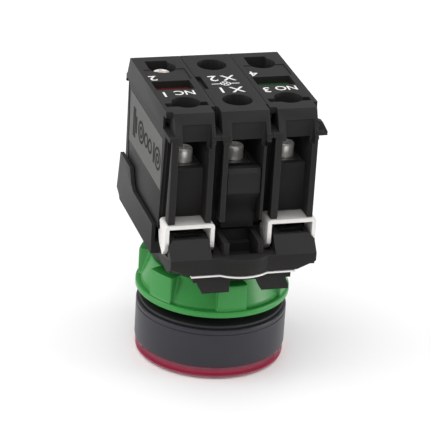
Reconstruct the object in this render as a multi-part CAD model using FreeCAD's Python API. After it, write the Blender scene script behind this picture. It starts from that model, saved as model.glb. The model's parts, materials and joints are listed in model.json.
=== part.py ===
import FreeCAD, Part
import math
import os

from FreeCAD import Vector as V

# Illuminated, booted panel push button for a 22 mm hole, with an NC and an NO contact block
# and a lamp module between them. Millimetres.
# Origin: on the head's axis, in the plane where the gasket meets the front of the panel.
# +Z points behind the panel, towards the terminals. X runs across the three blocks, Y along them.

# ---------------------------------------------------------------- driving dimensions: head
panel_grip = 2.1          # thickness of panel that the nut is run down to
gasket_thickness = 0.7
gasket_radius = 14.3
bezel_radius = 14.9
bezel_height = 8.0
bezel_wall = 0.85
bezel_rear_wall = 2.0
bezel_line_height = 0.85  # decorative groove, below the bezel's rear face
bezel_line_depth = 0.18
bezel_line_width = 0.22
bezel_chamfer = 0.35
shank_radius = 10.9
shank_wall = 1.6
shank_flange_thickness = 1.0
shank_flange_margin = 0.25
shank_top_drop = 0.2      # shank ends this far under the collar's top
spring_lip_height = 10.0  # lip inside the shank that the return spring bears on
spring_lip_thickness = 1.0
boot_reach = 2.8          # how far the boot stands in front of the bezel
boot_inset = 0.15
boot_wall = 0.5
boot_round = 1.3
boot_skirt_depth = 2.2
boot_skirt_wall = 0.3
lens_thickness = 1.5
lens_gap = 0.1            # lens to boot
lens_round = 0.6
holder_disc_thickness = 0.6
spring_room = 1.7         # radial room for the return spring, holder to shank
holder_wall = 1.4
holder_shoulder_thickness = 0.9
button_travel = 4.3
spring_wire_radius = 0.4
spring_turns = 6
yoke_height = 2.3
yoke_arm_width = 5.0
yoke_arm_overhang = 0.65  # arm's end past the plunger it pushes

# ---------------------------------------------------------------- driving dimensions: nut and lock
nut_height = 6.7
nut_flange_radius = 15.2
nut_flange_height = 1.3
nut_lobe_radius = 14.75
nut_lobe_count = 6
nut_lobe_half_angle = 11.0
nut_scoop_top_inset = 2.35
nut_scoop_foot_inset = 0.6
lock_gap = 0.6            # nut's top to the locking ring
lock_ring_height = 4.3
lock_ring_radius = 12.4
lock_plate_thickness = 1.3
lock_tab_drop = 3.7       # how far the grips hang below the ring's top
lock_tab_depth = 2.2
lock_tab_inner = 2.4      # distance of each grip from the middle plane
lock_tab_outer = 9.6
lock_tab_slant = 1.9
lock_grip_right = (2.1, 8.1)   # right-hand grip, near and far side
lock_grip_lean = 1.2
lock_grip_toe = 0.8
lock_plate_inset = 0.6    # the grips' front behind the collar's front
spring_plate_thickness = 0.3
spring_plate_gap = 0.12
spring_plate_margin = 0.22
spring_tongue_margin = 0.6    # tongue's edge past the locking ring's plate
spring_washer_wall = 1.4  # washer outside the slot for the yoke's arms

# ---------------------------------------------------------------- driving dimensions: collar
collar_side_inset = 0.7   # the outer blocks stand out over the collar by this much
collar_half_depth = 20.2
collar_rim_height = 3.2
collar_bulge = 1.5
collar_bulge_half = 4.6
collar_corner_cut = (3.7, 2.4, 1.6)
hook_height = 3.0
hook_slope = 2.75
hook_top_depth = 3.6
hook_side_gap = 2.0       # a hook is this much narrower than its block
hook_slot = (5.0, 1.5, 1.2)
hook_corner = 0.9
hook_root_inset = 1.0
hook_root_rise = 0.5
hook_slot_inset = 1.0
rib_half_gap = 2.85
rib_width = 1.0
rib_span = (13.0, 19.4)   # near and far end, from the middle
rib_drop = 0.4            # ribs' top under the hooks' top
rib_sink = 1.0            # ribs' root inside the rim
latch_pocket_wall = 1.4   # rim left in front of the pocket below the latch
latch_pocket_inner = 2.6  # pocket's inner end to the shank
latch_pocket_depth = 2.0
arm_thickness = 0.75
arm_gap = 0.12            # collar's arm to the side of the outer block
arm_front = -11.0
arm_front_rise = 6.2
arm_rear_rise = 9.9
arm_step_y = (4.4, 5.9, 7.6)
arm_rear = 15.6
arm_rear_toe = 17.5
arm_rear_cut = 0.8        # bevel at the arm's rear lower corner
arm_foot_rise = 0.8       # arms and side webs start this far above the collar's foot
collar_ring_wall = 1.5
collar_ring_drop = 0.6    # central ring under the hooks' top
side_web_overlap = 1.0

# ---------------------------------------------------------------- driving dimensions: blocks
block_pitch = 10.0
block_gap = 0.12          # air between two neighbouring blocks
block_height = 24.3
block_seat_gap = 0.3      # hooks' top to the blocks' underside
end_top = 14.8            # half length of a block at its top
end_reach = 17.4          # half length at the hood's lower edge
pillar_reach = 17.2
panel_depth = 13.5        # half length at the sunk panel between the pillars
skin_top = 14.0           # half length of the side skin under the shelf
skin_foot = 11.8
notch_depth = 12.0        # half length of the side skin above the shelf
notch_inner = 10.3
notch_cap = 1.3           # top plate left over the notch
notch_cap_reach = 13.7
skin_thickness = 0.4
hood_drop = 5.5           # hood's lower edge below the top
shelf_drop = 3.95
shelf_thickness = 0.85
ledge_drop = 11.7         # terminal ledge below the top
pillar_foot = 2.9         # pillars' feet above the block's underside
pillar_left = (0.6, 1.9)
pillar_right = (block_pitch - 2.2, block_pitch - 1.1)
groove_depth = 0.7
groove_inner = (0.2, 0.4)  # groove's inner edge to the skin, at its top and foot
groove_outer = (0.5, 2.4)  # groove's outer edge to the pillar's front, at its top and foot
hood_span = (1.3, block_pitch - 1.0)
hood_pocket = (2.6, block_pitch - 1.7)
hood_pocket_top = 1.95    # pocket's upper edge below the top
hood_pocket_depth = 0.3
hood_pocket_round = 0.5
wire_floor_y = 5.8        # inner end of a wire entry
screw_y = 9.3
driver_bore = 2.75        # radius of a screwdriver hole
front_slit = (0.8, block_pitch - 1.0, 9.4, 11.2)      # x ends, y ends
rear_window = (2.3, block_pitch - 3.3, 8.3, 12.6)
window_floor = 2.2        # the two openings' floor above the hood's lower edge
tag_window = (1.0, block_pitch - 1.5, -2.7, 1.8)
tag_window_depth = 2.2
tag_thickness = 0.8
tag_clearance = 0.1
strip_span = (1.0, block_pitch - 0.8)
strip_y = (2.4, 8.1)
strip_thickness = 0.8
strip_sink = 0.12
chamber_half = 4.9        # half length of the switching chamber
chamber_wall = 1.5
chamber_floor = 1.6
chamber_roof = 3.8
lug_reach = 1.1
lug_span_y = (14.6, 16.0)
lug_root = 0.3            # how far the lug is let into the hood
lug_levels = (1.9, 1.4, -0.6)     # root, shoulder and tip, from the shelf's top
lug_foot = 0.5            # lug's underside below the shelf

# ---------------------------------------------------------------- driving dimensions: terminals
screw_head_radius = 1.75
screw_head_height = 2.6
screw_head_round = 0.4
screw_shank_radius = 1.45
screw_shank_length = 9.5
screw_running = 0.05      # radial clearance of a screw in its thread
screw_back_out = 8.0      # the rear NC terminal screw stands open by this much
screw_slot = (0.55, 1.0)
screw_cross_half = 1.2
screw_seat_gap = 0.1
clamp_plate = (5.0, 5.2, 0.7)
clamp_running = 0.25
contact_strip = (4.6, 0.8)
contact_tail = 2.3        # strip's outer end past the screw's axis
contact_nose = 2.9        # strip's inner end inside the chamber
contact_button_inset = 1.7
contact_drop = 1.9        # fixed contact strip below the terminal ledge
bridge_size = (4.4, 8.6, 0.6)
contact_button = (0.9, 0.5)
bridge_rest_gap = 0.05    # closed NC bridge to its contact buttons
bridge_open_gap = 0.35    # what the NO bridge still has to go at full travel
plunger_pin_radius = 0.75
plunger_stem = 2.4
plunger_web = 1.0         # what is left of the stem where the bridge passes round it
bridge_play = 0.03
plunger_running = 0.08
plunger_head_height = 1.2
plunger_end_room = 2.2    # left over the plunger's head at full travel
plunger_pin_root = 0.6
plunger_spring_radius = 1.75
plunger_spring_wire = 0.22
plunger_spring_turns = 7

# ---------------------------------------------------------------- driving dimensions: clips
clip_thickness = 0.8
clip_depth = 4.5
clip_leg = 5.6
clip_leg_depth = 4.9
clip_overhang = 0.4
clip_span = (0.04, block_pitch - 0.34)  # the saddle's two ends, across its block
clip_under_gap = 0.1
clip_barb = 1.2
clip_toe_round = 1.6
clip_slot_gap = 0.15      # clearance round a leg in its slot in the collar

# ---------------------------------------------------------------- driving dimensions: lamp module
lamp_hood_span = (0.4, block_pitch - 0.3)
lamp_opening = (1.6, block_pitch - 1.6)
lamp_pocket = (2.1, block_pitch - 1.1)
lamp_bore = 2.9
lamp_latch_width = block_pitch - 3.7
lamp_latch_gap = 0.2
latch_pad_rise = 0.7      # thumb pad's top above the terminal ledge
latch_pad_height = 4.9
latch_curve_drop = 6.2
latch_foot = 2.0
latch_pin_radius = 0.55
latch_pin_running = 0.06
latch_pin_y = 13.6
latch_pin_rise = 0.8      # pivot above the pillars' feet
latch_pin_hold = 0.4      # how far the pin's end goes into a pillar
latch_bay_depth = 5.2
latch_thickness = 1.9
latch_pad_bevel = (0.5, 0.8)
latch_curve_depth = 2.8
latch_inset = 2.9         # foot's front behind the pad's
latch_foot_share = 0.6    # foot's thickness over the pad's
latch_heel = 0.6          # extra thickness at the pad's foot
latch_curve_steps = 6
lamp_side_notch = (1.15, -3.2, 3.4, 0.9)   # width, two Y ends and depth of the pry notch
latch_reach = 16.9
board_size = (6.6, 9.0, 1.6)
board_rise = 2.0          # board's underside above the chamber's floor
led_radius = 2.5
led_gap = 0.3
led_length = 9.0

# ---------------------------------------------------------------- fits
slip_gap = 0.15           # pieces that slip over the shank
lock_running = 0.08       # locking ring turning on the shank
thread_gap = 0.06         # nut's thread, drawn as a plain running fit
seat_gap = 0.05           # two faces that rest on each other
shank_running = 0.2       # holder and yoke sliding in the shank
holder_running = 0.1      # holder's tube in the shank's lip
lens_side_gap = 0.25
lens_over_disc = 0.2      # lens past the holder's disc
shoulder_overlap = 0.3    # holder's shoulder behind the shank's flange
yoke_lost_motion = 0.25   # left between the yoke and the blocks at full travel
yoke_slot_room = 0.3      # shank's slots start this far under the yoke
yoke_side_gap = 0.25      # yoke's arms in their slots
yoke_end_gap = 0.05
strip_gap = 0.08          # identity strips and contact strips in their seats
clamp_gap = 0.1
spring_seat_gap = 0.02
join = 0.2                # how far two parts of one moulding run into each other
over = 1.0                # how far a cut runs past the face it opens
hair = 0.01               # keeps a cut's face off the face it follows

# ---------------------------------------------------------------- worked-out levels
collar_half_width = 1.5 * block_pitch - collar_side_inset
hook_width = block_pitch - hook_side_gap
bezel_rear = -gasket_thickness
bezel_front = bezel_rear - bezel_height
boot_front = bezel_front - boot_reach
nut_foot = panel_grip
nut_top = nut_foot + nut_height
lock_foot = nut_top + lock_gap
lock_top = lock_foot + lock_ring_height
plate_foot = lock_top + spring_plate_gap
plate_top = plate_foot + spring_plate_thickness
collar_foot = plate_top + spring_plate_gap
rim_top = collar_foot + collar_rim_height
hook_top = rim_top + hook_height
block_foot = hook_top + block_seat_gap
block_top = block_foot + block_height
hood_foot = block_top - hood_drop
shelf_top = block_top - shelf_drop
shelf_foot = shelf_top - shelf_thickness
ledge = block_top - ledge_drop
pillar_bottom = block_foot + pillar_foot
clip_top = pillar_bottom - clip_under_gap
clip_foot = clip_top - clip_thickness
clip_toe = clip_foot - clip_leg
clip_front = -pillar_reach - clip_overhang
shank_bore = shank_radius - shank_wall
shank_top = hook_top - shank_top_drop
shank_clear = shank_radius + slip_gap
lock_bore = shank_radius + lock_running
nut_bore = shank_radius + thread_gap
holder_radius = shank_bore - spring_room
bezel_bore = bezel_radius - bezel_wall
flange_top = bezel_rear - bezel_rear_wall - seat_gap
flange_foot = flange_top - shank_flange_thickness
lens_radius = bezel_bore - boot_skirt_wall - lens_side_gap
lens_front = boot_front + boot_wall + lens_gap
lens_rear = lens_front + lens_thickness
disc_rear = lens_rear + holder_disc_thickness
shoulder_rear = flange_foot + shoulder_overlap
spring_seat_low = shoulder_rear
spring_seat_high = spring_lip_height
yoke_top = block_foot - button_travel - yoke_lost_motion
yoke_foot = yoke_top - yoke_height
yoke_slot_foot = yoke_foot - yoke_slot_room
yoke_reach = block_pitch + yoke_arm_overhang
yoke_half_slot = yoke_arm_width / 2 + yoke_side_gap
holder_top = yoke_foot
bay_half = lamp_latch_width / 2 + lamp_latch_gap
chamber_top = block_top - chamber_roof
plunger_top = chamber_top - button_travel - plunger_end_room
board_foot = block_foot + chamber_floor + board_rise


# ---------------------------------------------------------------- small helpers
def box(x0, x1, y0, y1, z0, z1):
    return Part.makeBox(x1 - x0, y1 - y0, z1 - z0, V(x0, y0, z0))


def rod(radius, z0, z1, x=0.0, y=0.0):
    return Part.makeCylinder(radius, z1 - z0, V(x, y, z0), V(0, 0, 1))


def tube(outer, inner, z0, z1):
    return rod(outer, z0, z1).cut(rod(inner, z0 - over, z1 + over))


def prism(points, direction):
    face = Part.Face(Part.makePolygon(points + points[:1]))
    return face.extrude(direction)


def prism_x(outline_yz, x0, x1):
    return prism([V(x0, y, z) for y, z in outline_yz], V(x1 - x0, 0, 0))


def prism_y(outline_xz, y0, y1):
    return prism([V(x, y0, z) for x, z in outline_xz], V(0, y1 - y0, 0))


def turned(outline_rz):
    face = Part.Face(Part.makePolygon([V(r, 0, z) for r, z in outline_rz + outline_rz[:1]]))
    return face.revolve(V(0, 0, 0), V(0, 0, 1), 360)


def coil(radius, wire, turns, z0, z1, x=0.0, y=0.0):
    """Coil between two seats, swept one turn at a time: its axis runs from z0 + wire to z1 - wire."""
    pitch = (z1 - z0 - 2 * wire) / turns
    path = Part.makeHelix(pitch, pitch, radius)
    section = Part.Wire(Part.makeCircle(wire, V(radius, 0, 0), V(0, 1, 0)))
    turn = Part.Wire(path.Edges).makePipeShell([section], True, True)
    spring = []
    for i in range(turns):
        spring.append(turn.copy())
        spring[i].translate(V(x, y, z0 + wire + i * pitch))
    return spring[0].multiFuse(spring[1:])


def fuse(shapes):
    return shapes[0].multiFuse(shapes[1:]).removeSplitter()


def at_rear(shape):
    """Mirror image at the block's other end."""
    return shape.mirror(V(0, 0, 0), V(0, 1, 0))


def solids_only(shape):
    shape = shape.removeSplitter()
    return shape if len(shape.Solids) > 1 else shape.Solids[0]


def save(name, shape):
    shape = solids_only(shape)
    shape.exportStep("parts/" + name + ".step")
    print(name, "solids", len(shape.Solids), "valid", shape.isValid(), "volume", round(shape.Volume, 2))


# ---------------------------------------------------------------- head
def bezel():
    ring = turned([
        (bezel_bore, bezel_front), (bezel_radius, bezel_front),
        (bezel_radius, bezel_rear - bezel_line_height - bezel_line_width),
        (bezel_radius - bezel_line_depth, bezel_rear - bezel_line_height - bezel_line_width),
        (bezel_radius - bezel_line_depth, bezel_rear - bezel_line_height),
        (bezel_radius, bezel_rear - bezel_line_height),
        (bezel_radius, bezel_rear - bezel_chamfer), (bezel_radius - bezel_chamfer, bezel_rear),
        (shank_clear, bezel_rear), (shank_clear, bezel_rear - bezel_rear_wall),
        (bezel_bore, bezel_rear - bezel_rear_wall),
    ])
    return ring


def gasket():
    return tube(gasket_radius, shank_clear, bezel_rear, 0.0)


def shank():
    flange_radius = bezel_bore - shank_flange_margin
    body = turned([
        (shank_bore, flange_foot), (flange_radius, flange_foot), (flange_radius, flange_top),
        (shank_radius, flange_top), (shank_radius, shank_top), (shank_bore, shank_top),
        (shank_bore, spring_lip_height + spring_lip_thickness),
        (holder_radius + holder_running, spring_lip_height + spring_lip_thickness),
        (holder_radius + holder_running, spring_lip_height), (shank_bore, spring_lip_height),
    ])
    slots = box(-2 * shank_radius, 2 * shank_radius, -yoke_half_slot, yoke_half_slot,
                yoke_slot_foot, shank_top + over)
    return body.cut(slots)


def boot():
    outer = bezel_radius - boot_inset
    cap = rod(outer, boot_front, bezel_front - seat_gap)
    rim = [e for e in cap.Edges if abs(e.BoundBox.ZMax - boot_front) < 1e-6 and e.BoundBox.XLength > outer]
    cap = cap.makeFillet(boot_round, rim)
    skirt_outer = bezel_bore - seat_gap
    skirt_top = bezel_front + boot_skirt_depth
    skirt = rod(skirt_outer, boot_front + boot_round, skirt_top)
    hollow = rod(skirt_outer - boot_skirt_wall, boot_front + boot_wall, skirt_top + over)
    return cap.fuse(skirt).cut(hollow)


def lens():
    disc = rod(lens_radius, lens_front, lens_rear)
    rim = [e for e in disc.Edges
           if abs(e.BoundBox.ZMax - lens_front) < 1e-6 and e.BoundBox.XLength > lens_radius]
    return disc.makeFillet(lens_round, rim)


def lens_holder():
    disc_radius = lens_radius - lens_over_disc
    shoulder_radius = shank_bore - shank_running
    shoulder_front = shoulder_rear - holder_shoulder_thickness
    return turned([
        (holder_radius - holder_wall, lens_rear), (disc_radius, lens_rear), (disc_radius, disc_rear),
        (holder_radius, disc_rear), (holder_radius, shoulder_front),
        (shoulder_radius, shoulder_front), (shoulder_radius, shoulder_rear),
        (holder_radius, shoulder_rear), (holder_radius, holder_top), (holder_radius - holder_wall, holder_top),
    ])


def return_spring():
    middle = (holder_radius + shank_bore) / 2
    return coil(middle, spring_wire_radius, spring_turns, spring_seat_low, spring_seat_high)


def yoke():
    """Ring behind the holder, with an arm out to the plunger of each outer block."""
    bore = holder_radius - holder_wall
    ring = tube(shank_bore - shank_running, bore, yoke_foot, yoke_top)
    arms = box(-yoke_reach, yoke_reach, -yoke_arm_width / 2, yoke_arm_width / 2, yoke_foot, yoke_top)
    return ring.fuse(arms.cut(rod(bore, yoke_foot - over, yoke_top + over)))


def yoke_passage(z0, z1):
    """Room for the yoke's arms and the plungers' pins, through whatever lies round the shank."""
    reach = yoke_reach + yoke_end_gap
    room = [rod(shank_clear, z0, z1), box(-reach, reach, -yoke_half_slot, yoke_half_slot, z0, z1)]
    for x in (-block_pitch, block_pitch):
        room.append(rod(plunger_pin_radius + plunger_running, z0, z1, x))
    return fuse(room)


# ---------------------------------------------------------------- fixing nut, locking ring, spring plate
def fixing_nut():
    flange_top_z = nut_foot + nut_flange_height
    flange = rod(nut_flange_radius, nut_foot, flange_top_z)
    crown = rod(nut_lobe_radius, nut_foot, nut_top)
    far = nut_lobe_radius + over
    step = 360.0 / nut_lobe_count
    scoop = Part.Face(Part.makePolygon([
        V(nut_lobe_radius - nut_scoop_foot_inset, 0, flange_top_z), V(far, 0, flange_top_z),
        V(far, 0, nut_top + over), V(nut_lobe_radius - nut_scoop_top_inset, 0, nut_top + over),
        V(nut_lobe_radius - nut_scoop_top_inset, 0, nut_top),
        V(nut_lobe_radius - nut_scoop_foot_inset, 0, flange_top_z),
    ])).revolve(V(0, 0, 0), V(0, 0, 1), step - 2 * nut_lobe_half_angle)
    for i in range(nut_lobe_count):
        cutter = scoop.copy()
        cutter.rotate(V(0, 0, 0), V(0, 0, 1), -90 + nut_lobe_half_angle + step * i)
        crown = crown.cut(cutter)
    return crown.fuse(flange).cut(rod(nut_bore, nut_foot - over, nut_top + over))


def front_outline(margin, half_width, half_depth):
    """Outline of the collar's front, seen from above: straight, with a round bulge in the middle."""
    sag, half = collar_bulge, collar_bulge_half
    a = V(-half_width, 0, 0)
    b = V(-half_width, -half_depth - margin, 0)
    c = V(-half, -half_depth - margin, 0)
    d = V(0, -half_depth - margin - sag, 0)
    e = V(half, -half_depth - margin, 0)
    f = V(half_width, -half_depth - margin, 0)
    g = V(half_width, 0, 0)
    edges = [Part.LineSegment(p, q).toShape() for p, q in ((a, b), (b, c), (e, f), (f, g), (g, a))]
    edges.insert(2, Part.Arc(c, d, e).toShape())
    return Part.Wire(edges)


def front_slab(margin, half_width, half_depth, z0, z1):
    slab = Part.Face(front_outline(margin, half_width, half_depth)).extrude(V(0, 0, z1 - z0))
    slab.translate(V(0, 0, z0))
    return slab


def locking_ring():
    ring = rod(lock_ring_radius, lock_foot, lock_top)
    reach = collar_half_depth - lock_plate_inset
    plate = box(-lock_tab_outer, lock_tab_outer, -reach, 0, lock_top - lock_plate_thickness, lock_top)
    tab_foot = lock_top - lock_tab_drop
    grips = []
    for x0, x1, lean in ((-lock_tab_outer, -lock_tab_inner, 0.0), (*lock_grip_right, lock_grip_lean)):
        grips.append(prism_y([(x0, lock_top), (x1, lock_top), (x1 + lean, tab_foot + lock_grip_toe),
                              (x1 + lean, tab_foot), (x0 + lock_tab_slant, tab_foot)],
                             -reach, -reach + lock_tab_depth))
    return fuse([ring, plate] + grips).cut(rod(lock_bore, lock_foot - over, lock_top + over))


def spring_plate():
    tongue = front_slab(spring_plate_margin, lock_tab_outer + spring_tongue_margin, collar_half_depth,
                        plate_foot, plate_top)
    washer = rod(yoke_reach + yoke_end_gap + spring_washer_wall, plate_foot, plate_top)
    return tongue.fuse(washer).cut(yoke_passage(plate_foot - over, plate_top + over))


# ---------------------------------------------------------------- collar
def collar_corner(sx, sy):
    along, back, up = collar_corner_cut
    x, y, z = sx * (collar_half_width + hair), sy * (collar_half_depth + hair), collar_foot - hair
    points = [V(x, y, z), V(x - sx * along, y, z), V(x, y - sy * back, z), V(x, y, z + up)]
    faces = [Part.Face(Part.makePolygon([points[i], points[j], points[k], points[i]]))
             for i, j, k in ((0, 1, 2), (0, 1, 3), (0, 2, 3), (1, 2, 3))]
    corner = Part.Solid(Part.Shell(faces))
    return corner if corner.Volume > 0 else corner.reversed()


def hook(side, end):
    """One latching hook: side -1 or +1 across the blocks, end -1 front or +1 rear."""
    x_out, x_in = side * collar_half_width, side * (collar_half_width - hook_width)
    x0, x1 = sorted((x_out, x_in))
    top_y = collar_half_depth - hook_slope
    root_z = collar_foot + hook_root_rise
    block = prism_x([(end * top_y, hook_top), (end * collar_half_depth, rim_top),
                     (end * (collar_half_depth - hook_root_inset), root_z),
                     (end * (top_y - hook_top_depth), root_z), (end * (top_y - hook_top_depth), hook_top)],
                    x0, x1)
    length, width, depth = hook_slot
    middle = (x0 + x1) / 2
    y_slot = end * (top_y - hook_slot_inset - width / 2)
    slot = box(middle - length / 2, middle + length / 2, y_slot - width / 2, y_slot + width / 2,
               hook_top - depth, hook_top + over)
    y0, y1 = sorted((end * top_y / 2, end * 2 * collar_half_depth))
    corner = prism_y([(x_out, hook_top - hook_corner), (x_out - side * hook_corner, hook_top),
                      (x_out + side * over, hook_top + over), (x_out + side * over, hook_top - hook_corner)],
                     y0, y1)
    return block.cut(slot).cut(corner)


def rib(side, end):
    """Upright rib beside the lamp module's latch."""
    foot, top = rim_top - rib_sink, hook_top - rib_drop
    near, far = rib_span
    outline = [(end * shank_clear, foot), (end * far, foot), (end * far, top), (end * near, top)]
    x0, x1 = sorted((side * rib_half_gap, side * (rib_half_gap + rib_width)))
    return prism_x(outline, x0, x1)


def collar():
    rim = front_slab(0.0, collar_half_width, collar_half_depth, collar_foot, rim_top)
    base = rim.fuse(at_rear(rim))
    for sx in (-1, 1):
        for sy in (-1, 1):
            base = base.cut(collar_corner(sx, sy))
    arm_inner = 1.5 * block_pitch + arm_gap
    arm_outer = arm_inner + arm_thickness
    step_a, step_b, step_c = arm_step_y
    foot = collar_foot + arm_foot_rise
    low, high = foot + arm_front_rise, foot + arm_rear_rise
    outline = [(arm_front, foot), (arm_front, low), (step_a, low), (step_b, low + arm_foot_rise),
               (step_c, high), (arm_rear, high), (arm_rear_toe, foot + 2 * arm_foot_rise),
               (arm_rear, foot + arm_foot_rise), (arm_rear - arm_rear_cut, foot)]
    pieces = [base, rod(shank_clear + collar_ring_wall, collar_foot, hook_top - collar_ring_drop)]
    for side in (-1, 1):
        x0, x1 = sorted((side * arm_inner, side * arm_outer))
        pieces.append(prism_x(outline, x0, x1))
        x0, x1 = sorted((side * (collar_half_width - side_web_overlap), side * arm_outer))
        pieces.append(box(x0, x1, arm_front, arm_rear - arm_rear_cut, foot, rim_top))
        for end in (-1, 1):
            pieces.append(hook(side, end))
            pieces.append(rib(side, end))
    body = fuse(pieces)
    pocket = box(-rib_half_gap, rib_half_gap, latch_pocket_wall - collar_half_depth,
                 -shank_radius - latch_pocket_inner, rim_top - latch_pocket_depth, rim_top + over)
    return body.cut(pocket).cut(leg_slots()).cut(yoke_passage(collar_foot - over, hook_top + over))


# ---------------------------------------------------------------- contact blocks
def block_x(slot):
    """Lowest X of a block's slot: 0 is the NC block, 1 the lamp module, 2 the NO block."""
    return (slot - 1.5) * block_pitch


def block_end(hood, opening, pocket, bore):
    """Front half of a block's body in its own slot, x from 0 to the pitch."""
    left, right = block_gap / 2, block_pitch - block_gap / 2
    core = prism_x([(0, block_foot), (-skin_foot, block_foot), (-skin_top, shelf_foot),
                    (-notch_depth, shelf_foot), (-notch_depth, block_top), (0, block_top)], left, right)
    roof = prism_x([(-notch_inner, block_top), (-end_top, block_top), (-end_reach, hood_foot),
                    (-notch_inner, hood_foot)], hood[0], hood[1])
    shelf_left = box(left, pillar_left[1], -pillar_reach, -notch_inner, shelf_foot, shelf_top)
    shelf_right = box(pillar_right[1] - join, right, -pillar_reach, -notch_inner, shelf_foot, shelf_top)
    post_left = box(pillar_left[0], opening[0], -pillar_reach, -notch_inner, pillar_bottom, shelf_foot)
    post_right = box(opening[1], pillar_right[1], -pillar_reach, -notch_inner, pillar_bottom, shelf_foot)
    panel = box(pillar_left[0], pillar_right[1], -panel_depth, -notch_inner, pillar_bottom, ledge)
    half = fuse([core, roof, shelf_left, shelf_right, post_left, post_right, panel])
    groove = prism_x([(-skin_top - groove_inner[0], shelf_foot), (-pillar_reach + groove_outer[0], shelf_foot),
                      (-pillar_reach + groove_outer[1], pillar_bottom - over),
                      (-skin_foot - groove_inner[1], pillar_bottom - over)],
                     -over, pillar_left[0] + groove_depth)
    mouth = box(opening[0], opening[1], -end_reach - over, -wire_floor_y, ledge, hood_foot)
    drop = end_reach - end_top
    pocket_reach = end_top + drop * hood_pocket_top / hood_drop
    scoop = prism_x([(-pocket_reach, block_top - hood_pocket_top),
                     (-pocket_reach + hood_pocket_depth, block_top - hood_pocket_top - hood_pocket_depth),
                     (-pocket_reach + hood_pocket_depth, hood_foot - over), (-end_reach - over, hood_foot - over),
                     (-end_reach - over, block_top - hood_pocket_top)], pocket[0], pocket[1])
    upright = [e for e in scoop.Edges if e.BoundBox.XLength < 1e-6 and e.BoundBox.YMax > -end_reach + hair
               and e.BoundBox.ZLength > hood_pocket_top]
    scoop = scoop.makeFillet(hood_pocket_round, upright)
    middle = block_pitch / 2
    driver = rod(bore, hood_foot - over, block_top + over, middle, -screw_y)
    thread = rod(screw_shank_radius + clamp_running, ledge - screw_shank_length - over, ledge + over,
                 middle, -screw_y)
    half_width, half_length = clamp_plate[0] / 2 + clamp_gap, clamp_plate[1] / 2 + clamp_gap
    plate = box(middle - half_width, middle + half_width, -screw_y - half_length, -screw_y + half_length,
                ledge - clamp_plate[2] - seat_gap, ledge + over)
    half = half.cut(fuse([mouth, scoop, driver, thread, plate]))
    half = half.cut(groove)
    if hood[0] > left + skin_thickness:
        half = half.cut(box(left + skin_thickness, hood[0], -notch_depth - over, -notch_inner,
                            shelf_top, block_top - notch_cap))
        cap = box(left, hood[0], -notch_cap_reach, -notch_inner, block_top - notch_cap, block_top)
        half = half.fuse(cap)
    return half


def block_shell(hood, opening, pocket, bore):
    """Closed body of one block: a notched front end, and a rear end whose hood is as wide as the block."""
    full = (block_gap / 2, block_pitch - block_gap / 2)
    rear = at_rear(block_end(full, opening, pocket, bore))
    return fuse([block_end(hood, opening, pocket, bore), rear])


def contact_slots():
    """Slots for the fixed contact strips, one from each terminal into the chamber."""
    middle, z1 = block_pitch / 2, ledge - contact_drop
    width, thick = contact_strip
    slot = box(middle - width / 2 - strip_gap, middle + width / 2 + strip_gap,
               -screw_y - contact_tail - clamp_gap, -chamber_half + contact_nose + clamp_gap,
               z1 - thick - strip_gap, z1 + strip_gap)
    return both_ends(slot)


def both_ends(shape):
    """The shape at the front terminal and its mirror image at the rear one."""
    return Part.makeCompound([shape, at_rear(shape)])


def block_chamber():
    return box(chamber_wall, block_pitch - chamber_wall, -chamber_half, chamber_half,
               block_foot + chamber_floor, chamber_top)


def contact_housing():
    shell = block_shell(hood_span, (pillar_left[1], pillar_right[0]), hood_pocket, driver_bore)
    middle = block_pitch / 2
    x0, x1, y0, y1 = front_slit
    slit = box(x0, x1, -y1, -y0, hood_foot + window_floor, block_top + over)
    x0, x1, y0, y1 = rear_window
    rear = box(x0, x1, y0, y1, hood_foot + window_floor, block_top + over)
    x0, x1, y0, y1 = tag_window
    window = box(x0, x1, y0, y1, block_top - tag_window_depth, block_top + over)
    seat = box(strip_span[0], strip_span[1], strip_y[0], strip_y[1], block_top - strip_thickness - strip_sink,
               block_top + over)
    pin = rod(plunger_pin_radius + plunger_running, block_foot - over, block_foot + chamber_floor + over, middle)
    shell = shell.cut(fuse([slit, rear])).cut(window).cut(seat).cut(block_chamber()).cut(pin)
    for slot in contact_slots().Solids:
        shell = shell.cut(slot)
    return shell


def coupling_lug():
    """Hooked rib on the free side of the outer block, which a further block would snap on to."""
    x = block_pitch - block_gap / 2
    y0, y1 = lug_span_y
    root = hood_span[1] - lug_root
    high, shoulder, tip = (shelf_top + level for level in lug_levels)
    foot = shelf_foot - lug_foot
    return prism_y([(root, high), (x, shoulder), (x + lug_reach, tip), (x + lug_reach, foot), (root, foot)],
                   -y1, -y0)


def identity_strip():
    x0, x1 = strip_span
    y0, y1 = strip_y
    top = block_top - strip_sink
    strip = box(x0 + strip_gap, x1 - strip_gap, y0 + strip_gap, y1 - strip_gap, top - strip_thickness, top)
    return strip.cut(rod(driver_bore, top - strip_thickness - over, top + over, block_pitch / 2, screw_y))


def colour_tag():
    x0, x1, y0, y1 = tag_window
    c = tag_clearance
    floor = block_top - tag_window_depth
    return box(x0 + c, x1 - c, y0 + c, y1 - c, floor, floor + tag_thickness)


def terminal_screw(end, lift, head_radius):
    """Slotted terminal screw, end -1 front or +1 rear, lifted when it stands open."""
    x, y = block_pitch / 2, end * screw_y
    seat = ledge + screw_seat_gap + lift
    top = seat + screw_head_height
    head = rod(head_radius, seat, top, x, y)
    edge = [e for e in head.Edges if abs(e.BoundBox.ZMin - top) < 1e-6 and e.BoundBox.XLength > head_radius]
    head = head.makeFillet(screw_head_round, edge)
    width, depth = screw_slot
    wide = head_radius + over
    slot = box(x - wide, x + wide, y - width / 2, y + width / 2, top - depth, top + over)
    cross = box(x - width / 2, x + width / 2, y - screw_cross_half, y + screw_cross_half, top - depth, top + over)
    shaft = rod(screw_shank_radius, seat - screw_shank_length, seat + join, x, y)
    return fuse([head.cut(slot).cut(cross), shaft])


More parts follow.
